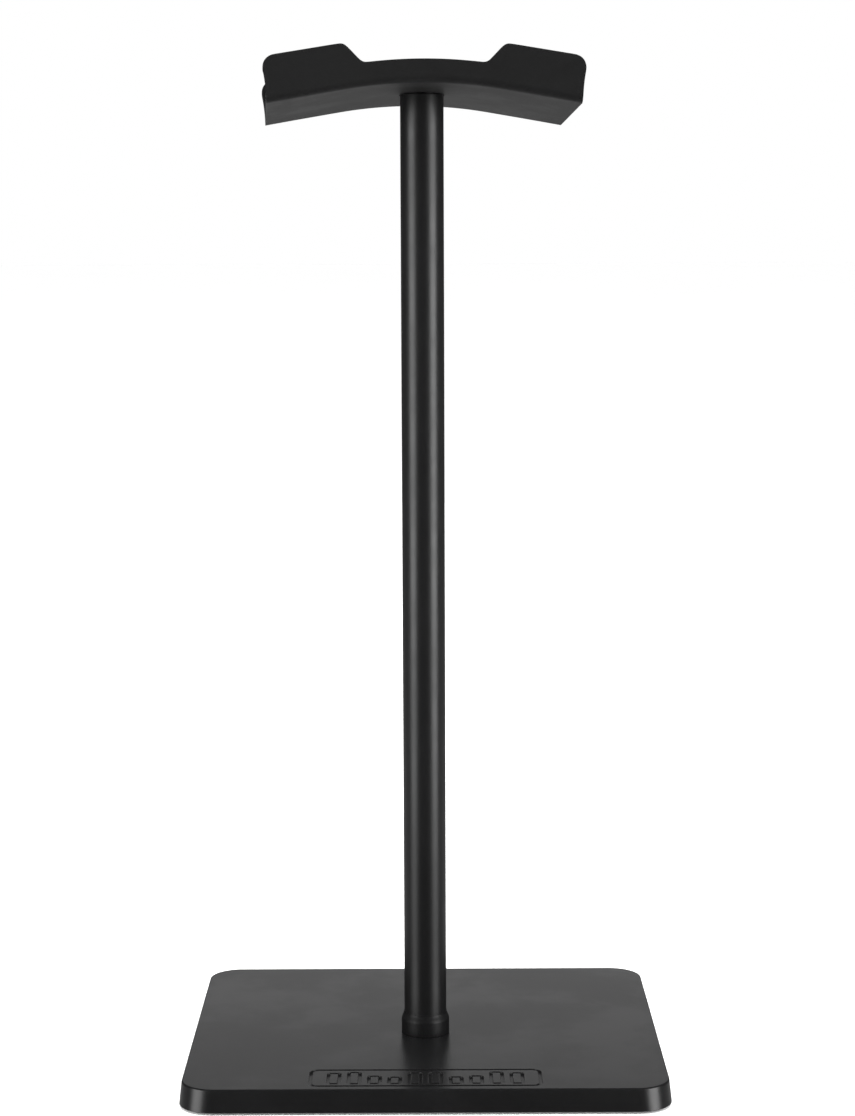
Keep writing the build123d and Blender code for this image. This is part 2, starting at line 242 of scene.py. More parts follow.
def node_group(name, inputs, outputs, wire):
    """A shader node group of numbers, built once. Its wiring function gives one result for each output."""
    if name in bpy.data.node_groups:
        return bpy.data.node_groups[name]
    tree = bpy.data.node_groups.new(name, "ShaderNodeTree")
    for label, default in inputs.items():
        socket = tree.interface.new_socket(label, in_out="INPUT", socket_type="NodeSocketFloat")
        socket.default_value = default
    for label in outputs:
        tree.interface.new_socket(label, in_out="OUTPUT", socket_type="NodeSocketFloat")
    n = Nodes(tree)
    results = wire(n, n.add("NodeGroupInput").outputs)
    out = n.add("NodeGroupOutput")
    for label, result in zip(outputs, results):
        tree.links.new(result, out.inputs[label])
    return tree


def moulded_grain_group():
    """Fine spark-eroded grain of a moulded surface, with its height and its tone."""

    def wire(n, given):
        place = n.place()
        per_metre = n.math("DIVIDE", 1.0 / MM, given["Grain Size"])
        pits = n.add(
            "ShaderNodeTexVoronoi",
            {"Vector": place, "Scale": per_metre, "Randomness": 1.0},
            feature="SMOOTH_F1",
        )
        fine = n.noise(place, n.math("MULTIPLY", per_metre, 0.6), detail=4.0, roughness=0.6)
        height = n.blend(given["Softness"], pits.outputs["Distance"], fine)
        return height, n.ramp(height, 0.2, 0.8)

    return node_group("moulded grain", {"Grain Size": 0.35, "Softness": 0.5}, ("Height", "Tone"), wire)


def handling_group():
    """Soft patches left by handling and cleaning: a mask of the rubbed places and a broad mottle."""

    def wire(n, given):
        place = n.place()
        per_metre = n.math("DIVIDE", 1.0 / MM, given["Patch Size"])
        broad = n.noise(place, per_metre, detail=3.0, roughness=0.55, distortion=0.4)
        finer = n.math("MULTIPLY", per_metre, 5.0)
        small = n.noise(place, finer, detail=4.0, roughness=0.6, distortion=0.2)
        patches = n.blend(given["Streak"], broad, small)
        return n.ramp(patches, 0.40, 0.66), n.ramp(broad, 0.3, 0.7)

    return node_group("handling marks", {"Patch Size": 22.0, "Streak": 0.35}, ("Mask", "Mottle"), wire)


def edge_wear_group():
    """Where a surface turns sharply it is rubbed: a mask broken up by noise."""

    def wire(n, given):
        radius = n.math("MULTIPLY", given["Width"], MM)
        rounded = n.add("ShaderNodeBevel", {"Radius": radius}, samples=4)
        true_normal = n.add("ShaderNodeNewGeometry").outputs["True Normal"]
        turned = n.add(
            "ShaderNodeVectorMath",
            {0: rounded.outputs["Normal"], 1: true_normal},
            operation="DOT_PRODUCT",
        )
        edge = n.ramp(turned.outputs["Value"], 0.995, 0.80)
        worn = n.ramp(n.noise(n.place(), 900.0, detail=4.0, roughness=0.6), 0.35, 0.65)
        return (n.math("MULTIPLY", edge, n.blend(given["Break Up"], 1.0, worn)),)

    return node_group("edge wear", {"Width": 0.4, "Break Up": 0.5}, ("Mask",), wire)


def dust_group():
    """Fine dust that settles on what faces up."""

    def wire(n, given):
        normal = n.add("ShaderNodeNewGeometry").outputs["Normal"]
        up = n.ramp(n.add("ShaderNodeSeparateXYZ", {0: normal}).outputs["Z"], 0.4, 1.0)
        place = n.place()
        specks = n.ramp(n.noise(place, 2600.0, detail=2.0, roughness=0.5), 0.66, 0.74)
        drift = n.ramp(n.noise(place, 60.0, detail=3.0, roughness=0.5), 0.35, 0.75)
        settled = n.math("MULTIPLY", n.math("MULTIPLY", specks, drift), up)
        return (n.math("MULTIPLY", settled, given["Amount"], clamp=True),)

    return node_group("settled dust", {"Amount": 0.2}, ("Mask",), wire)


def grouped(n, tree, **inputs):
    """A node group placed in a material with its own values."""
    node = n.add("ShaderNodeGroup", node_tree=tree)
    for label, value in inputs.items():
        node.inputs[label.replace("_", " ").title()].default_value = value
    return node


# A Mix node's colour sockets by number, since its number and colour sockets share their names.
COLOUR_A, COLOUR_B, COLOUR_RESULT = 6, 7, 2


def mixed_colour(n, factor, first, second):
    """A colour between two colours, by a factor."""
    node = n.add("ShaderNodeMix", {"Factor": factor}, data_type="RGBA")
    for socket, value in ((COLOUR_A, first), (COLOUR_B, second)):
        if isinstance(value, bpy.types.NodeSocket):
            n.tree.links.new(value, node.inputs[socket])
        else:
            node.inputs[socket].default_value = (*value, 1.0)
    return node.outputs[COLOUR_RESULT]


def scaled(tint, factor):
    """A colour made lighter or darker, up to white."""
    return [min(1.0, channel * factor) for channel in tint]


def bumped(n, shader, height, depth_mm, strength=1.0):
    """Gives a shader fine relief from a height."""
    values = {"Strength": strength, "Distance": depth_mm * MM}
    relief = n.add("ShaderNodeBump", {**values, "Height": height})
    n.tree.links.new(relief.outputs["Normal"], shader.inputs["Normal"])


def new_material(name):
    """An empty node material, its node helper and its shader."""
    material = bpy.data.materials.new(name)
    material.use_nodes = True
    tree = material.node_tree
    tree.nodes.clear()
    n = Nodes(tree)
    shader = n.add("ShaderNodeBsdfPrincipled")
    output = n.add("ShaderNodeOutputMaterial")
    tree.links.new(shader.outputs[0], output.inputs["Surface"])
    return material, n, shader


DUST_TINT = (0.22, 0.21, 0.20)


def moulded_finish(name, tint, roughness, spread, specular, grain, grain_depth, patch, worn, dust):
    """A moulded black finish with grain, handling patches, rubbed edges and a little dust.

    The grain's size, its depth and the patches' size are in millimetres. The roughness varies by the
    spread, and rubbed edges are lighter by the worn value.
    """
    material, n, shader = new_material(name)
    pores = grouped(n, moulded_grain_group(), grain_size=grain, softness=0.45)
    marks = grouped(n, handling_group(), patch_size=patch, streak=0.3)
    wear = grouped(n, edge_wear_group(), width=0.35, break_up=0.6)
    lint = grouped(n, dust_group(), amount=dust)
    base = mixed_colour(n, marks.outputs["Mottle"], scaled(tint, 0.80), scaled(tint, 1.22))
    base = mixed_colour(n, n.math("MULTIPLY", pores.outputs["Tone"], 0.25), base, scaled(tint, 1.5))
    base = mixed_colour(n, wear.outputs["Mask"], base, [channel + worn for channel in tint])
    base = mixed_colour(n, lint.outputs["Mask"], base, DUST_TINT)
    n.tree.links.new(base, shader.inputs["Base Color"])
    rough = n.ramp(marks.outputs["Mask"], 0.0, 1.0, roughness + spread, roughness - spread)
    rough = n.math("SUBTRACT", rough, n.math("MULTIPLY", wear.outputs["Mask"], 0.10))
    rough = n.math("ADD", rough, n.math("MULTIPLY", lint.outputs["Mask"], 0.3), clamp=True)
    n.tree.links.new(rough, shader.inputs["Roughness"])
    bumped(n, shader, pores.outputs["Height"], grain_depth)
    shader.inputs["Specular IOR Level"].default_value = specular
    return material


# ------------------------------------------------------------------ finishes
RUBBER_TINT = (0.018, 0.018, 0.018)
PLATE_TINT = (0.0150, 0.0150, 0.0152)
BARE_POLE_TINT = (0.05, 0.05, 0.052)
ZINC_TINT = (0.52, 0.52, 0.54)
BRASS_TINT = (0.70, 0.50, 0.24)
STEEL_TINT = (0.36, 0.36, 0.37)


def elastomer_finish():
    """Soft-touch black elastomer of the cradle."""
    material = moulded_finish(
        "soft black elastomer", settings("stand_cradle").tint, roughness=0.56, spread=0.03, specular=0.28,
        grain=0.30, grain_depth=0.018, patch=26.0, worn=0.010, dust=0.05,
    )
    shader = material.node_tree.nodes["Principled BSDF"]
    shader.inputs["Sheen Weight"].default_value = 0.01
    shader.inputs["Sheen Roughness"].default_value = 0.4
    return material


def rubber_finish():
    """Dull black rubber of the feet."""
    return moulded_finish(
        "dull black rubber", RUBBER_TINT, roughness=0.72, spread=0.08, specular=0.3,
        grain=0.45, grain_depth=0.02, patch=8.0, worn=0.02, dust=0.0,
    )


def base_finish():
    """Satin black moulding of the base, with the broad faint patches of a large flat surface."""
    return moulded_finish(
        "satin black moulding", settings("stand_base").tint, roughness=0.30, spread=0.02, specular=0.5,
        grain=0.28, grain_depth=0.008, patch=30.0, worn=0.012, dust=0.05,
    )


def plate_finish():
    """Matte black moulding of the underside and of the hub."""
    return moulded_finish(
        "matte black moulding", PLATE_TINT, roughness=0.58, spread=0.06, specular=0.4,
        grain=0.5, grain_depth=0.02, patch=24.0, worn=0.02, dust=0.0,
    )


def collar_finish():
    """Satin black moulding of the collar and of the swivel's washer."""
    return moulded_finish(
        "satin black collar", settings("stand_pole").tint, roughness=0.44, spread=0.02, specular=0.26,
        grain=0.25, grain_depth=0.006, patch=9.0, worn=0.0, dust=0.03,
    )


def pole_finish():
    """Satin black coat on the aluminium pole, with the fine ring marks of its polishing."""
    material, n, shader = new_material("satin black pole coat")
    place = n.place()
    rings = n.add("ShaderNodeMapping", {"Vector": place, "Scale": (40.0, 40.0, 2200.0)})
    ring_noise = n.noise(rings.outputs["Vector"], 1.0, detail=4.0, roughness=0.6)
    marks = grouped(n, handling_group(), patch_size=34.0, streak=0.35)
    wear = grouped(n, edge_wear_group(), width=0.3, break_up=0.7)
    peel = n.noise(place, 1400.0, detail=2.0, roughness=0.5)
    tint = settings("stand_pole").tint
    base = mixed_colour(n, marks.outputs["Mottle"], scaled(tint, 0.88), scaled(tint, 1.35))
    base = mixed_colour(n, wear.outputs["Mask"], base, BARE_POLE_TINT)
    n.tree.links.new(base, shader.inputs["Base Color"])
    rough = n.ramp(marks.outputs["Mask"], 0.0, 1.0, 0.36, 0.30)
    rough = n.math("ADD", rough, n.math("MULTIPLY", ring_noise, 0.05))
    n.tree.links.new(rough, shader.inputs["Roughness"])
    height = n.math("ADD", n.math("MULTIPLY", peel, 0.7), n.math("MULTIPLY", ring_noise, 0.3))
    bumped(n, shader, height, 0.006)
    shader.inputs["Specular IOR Level"].default_value = 0.5
    return material


def metal_finish(name, tint, roughness, mark_scale):
    """A plated or turned metal, with turning marks round the pole's axis and dull patches."""
    material, n, shader = new_material(name)
    to_axis = (-POLE_AXIS.x, -POLE_AXIS.y, 0.0)
    centred = n.add("ShaderNodeMapping", {"Vector": n.place(), "Location": to_axis})
    split = n.add("ShaderNodeSeparateXYZ", {0: centred.outputs["Vector"]})
    squares = [n.math("POWER", split.outputs[axis], 2.0) for axis in ("X", "Y")]
    radius = n.math("SQRT", n.math("ADD", *squares))
    turned = n.add("ShaderNodeCombineXYZ", {0: radius, 2: split.outputs["Z"]})
    lines = n.noise(turned.outputs[0], mark_scale, detail=3.0, roughness=0.6)
    patches = grouped(n, handling_group(), patch_size=3.0, streak=0.5)
    wear = grouped(n, edge_wear_group(), width=0.2, break_up=0.4)
    base = mixed_colour(n, patches.outputs["Mottle"], scaled(tint, 0.82), tint)
    base = mixed_colour(n, wear.outputs["Mask"], base, scaled(tint, 1.25))
    n.tree.links.new(base, shader.inputs["Base Color"])
    rough = n.ramp(patches.outputs["Mask"], 0.0, 1.0, roughness + 0.08, roughness - 0.06)
    rough = n.math("ADD", rough, n.math("MULTIPLY", lines, 0.08))
    n.tree.links.new(rough, shader.inputs["Roughness"])
    bumped(n, shader, lines, 0.01, strength=0.8)
    shader.inputs["Metallic"].default_value = 1.0
    return material


# ------------------------------------------------------------------ mesh helpers
def piece_from(bm, name, material, body, replaced):
    """Turns a bmesh into a finished piece that rides on its body and stands for a CAD node."""
    bmesh.ops.recalc_face_normals(bm, faces=bm.faces)
    mesh = bpy.data.meshes.new(name)
    bm.to_mesh(mesh)
    bm.free()
    for polygon in mesh.polygons:
        polygon.use_smooth = True
    mesh.materials.append(material)
    piece = bpy.data.objects.new(name, mesh)
    bpy.context.collection.objects.link(piece)
    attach(piece, body)
    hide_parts(replaced)
    return piece


def round_edges(piece, width, segments, angle):
    """Rounds a piece's edges where it turns by more than an angle in degrees."""
    bevel = piece.modifiers.new("rounded edges", "BEVEL")
    bevel.width = width
    bevel.segments = segments
    bevel.limit_method = "ANGLE"
    bevel.angle_limit = radians(angle)
    bevel.profile = 0.5
    bevel.harden_normals = False


def keep_flats(piece):
    """Keeps large flat faces flat where they meet rounded edges."""
    modifier = piece.modifiers.new("flat faces", "WEIGHTED_NORMAL")
    modifier.weight = 100
    modifier.keep_sharp = False


def smooth(piece, levels):
    """Smooths a piece."""
    modifier = piece.modifiers.new("smooth", "SUBSURF")
    modifier.levels = levels
    modifier.render_levels = levels


def lathe(outline, steps):
    """A bmesh turned about the pole's axis from (radius, height) points."""
    bm = bmesh.new()
    points = [bm.verts.new((POLE_AXIS.x + radius, POLE_AXIS.y, height)) for radius, height in outline]
    edges = [bm.edges.new(pair) for pair in zip(points, points[1:])]
    bmesh.ops.spin(
        bm, geom=points + edges, cent=POLE_AXIS, axis=(0.0, 0.0, 1.0),
        angle=2 * pi, steps=steps, use_merge=True,
    )
    bmesh.ops.remove_doubles(bm, verts=bm.verts, dist=TURNED_MERGE)
    return bm


# ------------------------------------------------------------------ cradle
# Steps of the cradle's grid: half its length up to the corners, a corner, and the parts of its section.
STRAIGHT_STEPS = 44
CORNER_STEPS = 8
FLANGE_ROWS = 7
BEND_ROWS = 6
FLOOR_ROWS = 40
ALL_ROWS = 2 * (FLANGE_ROWS + BEND_ROWS) + FLOOR_ROWS


def underside(cradle, along):
    """Height of the cradle's underside at a distance from its middle, with the middle at zero."""
    slope = asin(cradle.arc_half / cradle.arc_radius)
    if abs(along) <= cradle.arc_half:
        return cradle.arc_radius * cos(asin(along / cradle.arc_radius)) - cradle.arc_radius
    drop = cradle.arc_radius * (1.0 - cos(slope))
    return -drop - (abs(along) - cradle.arc_half) * tan(slope)


def flange_top(cradle, along):
    """Height of a flange's top above the underside, with its notch and its rounded outer corner."""
    low_half = cradle.notch_bottom / 2
    high_half = cradle.notch_top / 2
    share = (abs(along) - low_half) / (high_half - low_half)
    softness = 0.10
    rising = sqrt(share * share + softness**2)
    levelling = sqrt((share - 1.0) ** 2 + softness**2)
    share = (rising - levelling + 1.0) / 2
    top = cradle.notch_level + (cradle.height - cradle.notch_level) * min(1.0, max(0.0, share))
    past = abs(along) - (cradle.length / 2 - cradle.corner)
    if past > 0.0:
        top -= cradle.corner - sqrt(max(0.0, cradle.corner**2 - past**2))
    return top


def cradle_stations(cradle):
    """Distances along the cradle, closer together round the flanges' outer corners."""
    straight = cradle.length / 2 - cradle.corner
    half = [straight * step / STRAIGHT_STEPS for step in range(STRAIGHT_STEPS)]
    for step in range(CORNER_STEPS + 1):
        half.append(straight + cradle.corner * sin(pi / 2 * step / CORNER_STEPS))
    return [-along for along in reversed(half[1:])] + half


def folded_row(row):
    """A row counted from its own flange's top, and whether that is the back flange."""
    at_back = row > ALL_ROWS / 2
    return (ALL_ROWS - row if at_back else row), at_back


def outer_point(cradle, row, top):
    """Point (depth, height) of one row on the outside of a section, from front flange to back flange."""
    step, at_back = folded_row(row)
    face = cradle.depth / 2
    if step <= FLANGE_ROWS:
        depth = -face
        height = top + (cradle.bend - top) * step / FLANGE_ROWS
    elif step <= FLANGE_ROWS + BEND_ROWS:
        angle = pi / 2 * (step - FLANGE_ROWS) / BEND_ROWS
        depth = -face + cradle.bend * (1.0 - cos(angle))
        height = cradle.bend * (1.0 - sin(angle))
    else:
        share = (step - FLANGE_ROWS - BEND_ROWS) / FLOOR_ROWS
        depth = (-face + cradle.bend) + 2 * (face - cradle.bend) * share
        height = 0.0
    return (-depth if at_back else depth), height


def inner_point(cradle, row, top, outer_depth):
    """Point (depth, height) of one row on the inside of a section, across the wall from the outside's."""
    step, at_back = folded_row(row)
    face = cradle.depth / 2 - cradle.flange_wall
    if step <= FLANGE_ROWS:
        depth = -face
        height = top + (cradle.floor_wall + cradle.inner_bend - top) * step / FLANGE_ROWS
    elif step <= FLANGE_ROWS + BEND_ROWS:
        angle = pi / 2 * (step - FLANGE_ROWS) / BEND_ROWS
        depth = -face + cradle.inner_bend * (1.0 - cos(angle))
        height = cradle.floor_wall + cradle.inner_bend * (1.0 - sin(angle))
    else:
        reach = cradle.depth / 2 - cradle.bend
        drawn = reach - (face - cradle.inner_bend)
        only_near_bend = (abs(outer_depth) / reach) ** 8
        inwards = 1.0 if outer_depth > 0.0 else -1.0
        return outer_depth - drawn * only_near_bend * inwards, cradle.floor_wall
    return (-depth if at_back else depth), height


def end_swell(cradle, depth, height):
    """How far an end stands past its plain length: drawn in low down and at the bends, fuller at the top."""
    upright = min(1.0, height / cradle.height) ** 2 * (2 * depth / cradle.depth) ** 2
    return cradle.end_bulge * upright - cradle.end_pinch * (1.0 - upright)


def cradle_place(cradle):
    """From the cradle's own directions to its place on the pole."""
    seat = Matrix.Translation((POLE_AXIS.x, POLE_AXIS.y, POLE_TOP + cradle.rise))
    return seat @ Matrix.Rotation(cradle.turn, 4, "Z") @ Matrix.Rotation(-cradle.lean, 4, "X")


def open_hub_hole(bm, cradle):
    """Opens a hole in the floor for the hub and the pole's end, and draws its rim to a circle."""
    radius = cradle.socket
    square_half = radius * 0.86
    rim_reach = radius * 1.6
    inside = []
    for face in bm.faces:
        centre = face.calc_center_median()
        if max(abs(centre.x), abs(centre.y)) < square_half and centre.z < cradle.bend:
            inside.append(face)
    bmesh.ops.delete(bm, geom=inside, context="FACES")
    for vert in bm.verts:
        flat = Vector((vert.co.x, vert.co.y))
        if vert.is_boundary and flat.length < rim_reach:
            flat = flat.normalized() * radius
            vert.co = (flat.x, flat.y, underside(cradle, flat.x - cradle.offset))


class STAND_OT_cradle(bpy.types.Operator):
    """Model the soft cradle: one moulded sheet with two notched flanges and a hole for the hub"""

    bl_idname = "stand.cradle"
    bl_label = "Soft cradle"

    def execute(self, context):
        cradle = settings("stand_cradle")
        stations = cradle_stations(cradle)
        columns = len(stations) - 1
        bm = bmesh.new()
        bmesh.ops.create_grid(bm, x_segments=columns, y_segments=ALL_ROWS, size=0.5)
        row_of = bm.verts.layers.int.new("row")
        column_of = bm.verts.layers.int.new("column")
        for vert in bm.verts:
            column = round((vert.co.x + 0.5) * columns)
            row = round((vert.co.y + 0.5) * ALL_ROWS)
            vert[row_of], vert[column_of] = row, column
            along = stations[column]
            depth, height = outer_point(cradle, row, flange_top(cradle, along))
            only_near_end = (2 * along / cradle.length) ** 3
            swell = end_swell(cradle, depth, height) * only_near_end
            vert.co = (along + swell + cradle.offset, depth, underside(cradle, along) + height)
        open_hub_hole(bm, cradle)
        inside = bmesh.ops.extrude_face_region(bm, geom=bm.faces[:])
        for vert in inside["geom"]:
            if isinstance(vert, bmesh.types.BMVert):
                top = flange_top(cradle, stations[vert[column_of]])
                depth, height = inner_point(cradle, vert[row_of], top, vert.co.y)
                level = underside(cradle, vert.co.x - cradle.offset)
                vert.co = (vert.co.x, depth, level + height)
        bmesh.ops.transform(bm, matrix=cradle_place(cradle), verts=bm.verts)
        piece = piece_from(bm, "soft_cradle", elastomer_finish(), CRADLE, "soft_saddle")
        round_edges(piece, cradle.edge, segments=3, angle=50.0)
        smooth(piece, levels=1)
        return {"FINISHED"}


# ------------------------------------------------------------------ pole and collar
class STAND_OT_pole(bpy.types.Operator):
    """Turn the pole's tube, with softly rounded ends"""

    bl_idname = "stand.pole"
    bl_label = "Pole"

    def execute(self, context):
        pole = settings("stand_pole")
        inner = POLE_RADIUS - pole.wall
        rings = 40
        heights = [POLE_FOOT + (POLE_TOP - POLE_FOOT) * ring / rings for ring in range(rings + 1)]
        outside = [(POLE_RADIUS, height) for height in heights]
        outline = [(inner, POLE_FOOT), *outside, (inner, POLE_TOP), (inner, POLE_FOOT)]
        bm = lathe(outline, pole.steps)
        piece = piece_from(bm, "pole", pole_finish(), STAND, "pole_tube")
        round_edges(piece, pole.end_edge, segments=4, angle=60.0)
        return {"FINISHED"}


class STAND_OT_collar(bpy.types.Operator):
    """Turn the collar at the pole's foot, with a shoulder that runs up into the pole"""

    bl_idname = "stand.collar"
    bl_label = "Collar"

    def execute(self, context):
        pole = settings("stand_pole")
        low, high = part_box("pole_collar")
        outer = (high[0] - low[0]) / 2
        thin = POLE_RADIUS + pole.collar_step
        bore = POLE_RADIUS + 0.02 * MM
        skirt = low[2] + 1.4 * MM
        shoulder_steps = 12
        shoulder = []
        for step in range(shoulder_steps + 1):
            share = step / shoulder_steps
            ease = share * share * (3.0 - 2.0 * share)
            height = high[2] - pole.collar_shoulder * (1.0 - share)
            shoulder.append((outer + (thin - outer) * ease, height))
        outside = [(outer, low[2]), (outer, skirt), *shoulder]
        bm = lathe([(bore, low[2]), *outside, (bore, high[2]), (bore, low[2])], pole.steps)
        piece = piece_from(bm, "collar", collar_finish(), STAND, "pole_collar")
        round_edges(piece, 0.12 * MM, segments=3, angle=50.0)
        return {"FINISHED"}


# ------------------------------------------------------------------ base
# How far a cutter stands out of the face that it cuts.
OVERCUT = 1.0 * MM


def rounded_block(bm, width, depth, low, high, corner, centre=(0.0, 0.0), segments=18):
    """A block with its four upright edges rounded."""
    made = bmesh.ops.create_cube(bm, size=1.0)
    place = Matrix.Translation((centre[0], centre[1], (low + high) / 2))
    place @= Matrix.Diagonal((width, depth, high - low, 1.0))
    bmesh.ops.transform(bm, matrix=place, verts=made["verts"])
    upright = set()
    for vert in made["verts"]:
        for edge in vert.link_edges:
            if abs(edge.verts[0].co.z - edge.verts[1].co.z) > (high - low) / 2:
                upright.add(edge)
    bmesh.ops.bevel(
        bm, geom=list(upright), offset=corner, segments=segments, profile=0.5, affect="EDGES", material=-1
    )


def spare_object(bm, name):
    """An object that only serves to cut or to join, made from a bmesh."""
    mesh = bpy.data.meshes.new(name)
    bm.to_mesh(mesh)
    bm.free()
    spare = bpy.data.objects.new(name, mesh)
    bpy.context.collection.objects.link(spare)
    return spare


def add_ring(bm, size, low, high, corner, line, centre, segments):
    """A closed upright ring round a rounded rectangle, its line as wide as asked, inside the given size."""
    ring = bmesh.new()
    rounded_block(ring, size[0], size[1], low, high, corner, centre, segments)
    caps = [face for face in ring.faces if len({round(vert.co.z, 7) for vert in face.verts}) == 1]
    bmesh.ops.delete(ring, geom=caps, context="FACES_ONLY")
    bmesh.ops.recalc_face_normals(ring, faces=ring.faces)
    bmesh.ops.solidify(ring, geom=ring.faces[:], thickness=line)
    bmesh.ops.recalc_face_normals(ring, faces=ring.faces)
    mesh = bpy.data.meshes.new("ring")
    ring.to_mesh(mesh)
    ring.free()
    bm.from_mesh(mesh)
    bpy.data.meshes.remove(mesh)


def engraving_cutter(base, top, badge_y):
    """Rings to sink in the base's top: the badge's frame and its level bars."""
    low = top - base.engraving
    high = top + OVERCUT
    line = base.badge_line
    bm = bmesh.new()
    frame_size = (base.badge_width, base.badge_depth)
    add_ring(bm, frame_size, low, high, base.badge_corner, line, (0.0, badge_y), segments=10)
    front = badge_y - base.badge_depth / 2 + base.bar_foot
    for bar in range(base.bars):
        step = bar - (base.bars - 1) / 2
        tall = base.bar_shortest + (base.bar_tallest - base.bar_shortest) * abs(cos(step * base.wave))
        centre = (step * base.bar_pitch, front + tall / 2)
        add_ring(bm, (base.bar_width, tall), low, high, base.bar_corner, line, centre, segments=4)
    return spare_object(bm, "engraving_cutter")


def add_post(bm, x, y, low, high, radius):
    """An upright round post."""
    place = Matrix.Translation((x, y, (low + high) / 2))
    bmesh.ops.create_cone(
        bm, cap_ends=True, segments=48, radius1=radius, radius2=radius, depth=high - low, matrix=place
    )


def combine(piece, spare, operation):
    """Cuts a spare object out of a piece or joins it on, and throws the spare away."""
    modifier = piece.modifiers.new("combine", "BOOLEAN")
    modifier.operation = operation
    modifier.solver = "EXACT"
    modifier.object = spare
    graph = bpy.context.evaluated_depsgraph_get()
    mesh = bpy.data.meshes.new_from_object(piece.evaluated_get(graph))
    piece.modifiers.remove(modifier)
    old = piece.data
    piece.data = mesh
    bpy.data.meshes.remove(old)
    spare_mesh = spare.data
    bpy.data.objects.remove(spare)
    bpy.data.meshes.remove(spare_mesh)


def screw_places():
    """Middles of the bottom plate's four screws."""
    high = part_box("bottom_plate_screws")[1]
    reach_x = high[0] - SCREW_HEAD_RADIUS
    reach_y = high[1] - SCREW_HEAD_RADIUS
    return [(x, y) for x in (-reach_x, reach_x) for y in (-reach_y, reach_y)]


class STAND_OT_base(bpy.types.Operator):
    """Model the base's shell: flared rim, soft top edge, engraved badge, and bosses in its hollow"""

    bl_idname = "stand.base"
    bl_label = "Base"

    def execute(self, context):
        base = settings("stand_base")
        low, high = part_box("base_shell")
        bottom, top = low[2], high[2]
        roof = top - base.roof
        plate_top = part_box("bottom_plate")[1][2]
        bm = bmesh.new()
        rounded_block(bm, base.width, base.depth, bottom, top, base.corner)
        for vert in bm.verts:
            if vert.co.z < (bottom + top) / 2:
                vert.co.x *= 1.0 + 2 * base.flare / base.width
                vert.co.y *= 1.0 + 2 * base.flare / base.depth
        just_under = top - 0.01 * MM
        rim = [edge for edge in bm.edges if all(vert.co.z > just_under for vert in edge.verts)]
        bmesh.ops.bevel(
            bm, geom=rim, offset=base.edge, segments=5, profile=0.5, affect="EDGES", material=-1,
            clamp_overlap=True,
        )
        bm.normal_update()
        floor = [face for face in bm.faces if face.normal.z < -0.9]
        bmesh.ops.inset_region(bm, faces=floor, thickness=base.rim + base.flare, use_even_offset=True)
        raised = bmesh.ops.extrude_face_region(bm, geom=floor)
        lifted = [item for item in raised["geom"] if isinstance(item, bmesh.types.BMVert)]
        bmesh.ops.translate(bm, verts=lifted, vec=(0.0, 0.0, roof - bottom))
        bmesh.ops.delete(bm, geom=[face for face in floor if face.is_valid], context="FACES_ONLY")
        piece = piece_from(bm, "base", base_finish(), STAND, "base_shell")

        posts = bmesh.new()
        into_roof = roof + base.roof / 4
        for x, y in screw_places():
            add_post(posts, x, y, plate_top, into_roof, base.boss)
        add_post(posts, POLE_AXIS.x, POLE_AXIS.y, roof - base.pad_drop, into_roof, base.pad)
        combine(piece, spare_object(posts, "posts"), "UNION")

        holes = bmesh.new()
        for x, y in screw_places():
            add_post(holes, x, y, bottom, roof, base.screw_hole)
        add_post(holes, POLE_AXIS.x, POLE_AXIS.y, bottom, top + OVERCUT, base.bolt_hole)
        combine(piece, spare_object(holes, "holes"), "DIFFERENCE")

        badge_y = -base.depth / 2 + base.badge_gap + base.badge_depth / 2
        combine(piece, engraving_cutter(base, top, badge_y), "DIFFERENCE")
        round_edges(piece, 0.10 * MM, segments=2, angle=40.0)
        keep_flats(piece)
        for polygon in piece.data.polygons:
            polygon.use_smooth = True
        return {"FINISHED"}


# ------------------------------------------------------------------ underside
class STAND_OT_feet(bpy.types.Operator):
    """Turn the four rubber feet, with a rounded rim and grip rings below"""

    bl_idname = "stand.feet"
    bl_label = "Feet"

    def execute(self, context):
        rubber = rubber_finish()
        for node in sorted(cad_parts):
            if not node.startswith("foot_"):
                continue
            low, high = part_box(node)
            radius = (high[0] - low[0]) / 2
            ground, groove_roof = low[2], low[2] + 0.25 * MM
            chamfer, slope, across = 0.3 * MM, 0.12 * MM, 0.62 * MM
            outline = [(0.0, high[2]), (radius, high[2])]
            outline += [(radius, ground + chamfer), (radius - chamfer, ground)]
            for groove in (4.4 * MM, 3.0 * MM, 1.6 * MM):
                outline += [
                    (groove, ground), (groove - slope, groove_roof),
                    (groove - across + slope, groove_roof), (groove - across, ground),
                ]
            outline.append((0.0, ground))
            bm = lathe(outline, steps=64)
            centre = middle_of(node)
            shift = Vector((centre.x, centre.y, 0.0)) - POLE_AXIS
            bmesh.ops.translate(bm, verts=bm.verts, vec=shift)
            piece = piece_from(bm, node.replace("foot", "pad"), rubber, STAND, node)
            round_edges(piece, 0.08 * MM, segments=2, angle=30.0)
        return {"FINISHED"}


# CAD nodes whose sharp edges are rounded: the piece's name, its body, the rounding in millimetres, its slot.
SOFTENED = {
    "bottom_plate": ("bottom_cover", STAND, 0.15, "plate_plastic"),
    "bottom_plate_screws": ("plate_screws", STAND, 0.05, "screw_steel"),
    "pole_bolt": ("bolt", STAND, 0.10, "screw_steel"),
    "pole_bolt_washer": ("bolt_washer", STAND, 0.08, "screw_steel"),
    "pole_bolt_lock_washer": ("bolt_lock_washer", STAND, 0.06, "screw_steel"),
    "saddle_core": ("hub", CRADLE, 0.08, "core_plastic"),
    "screw_cover": ("soft_screw_cover", CRADLE, 0.14, "cover_soft"),
}


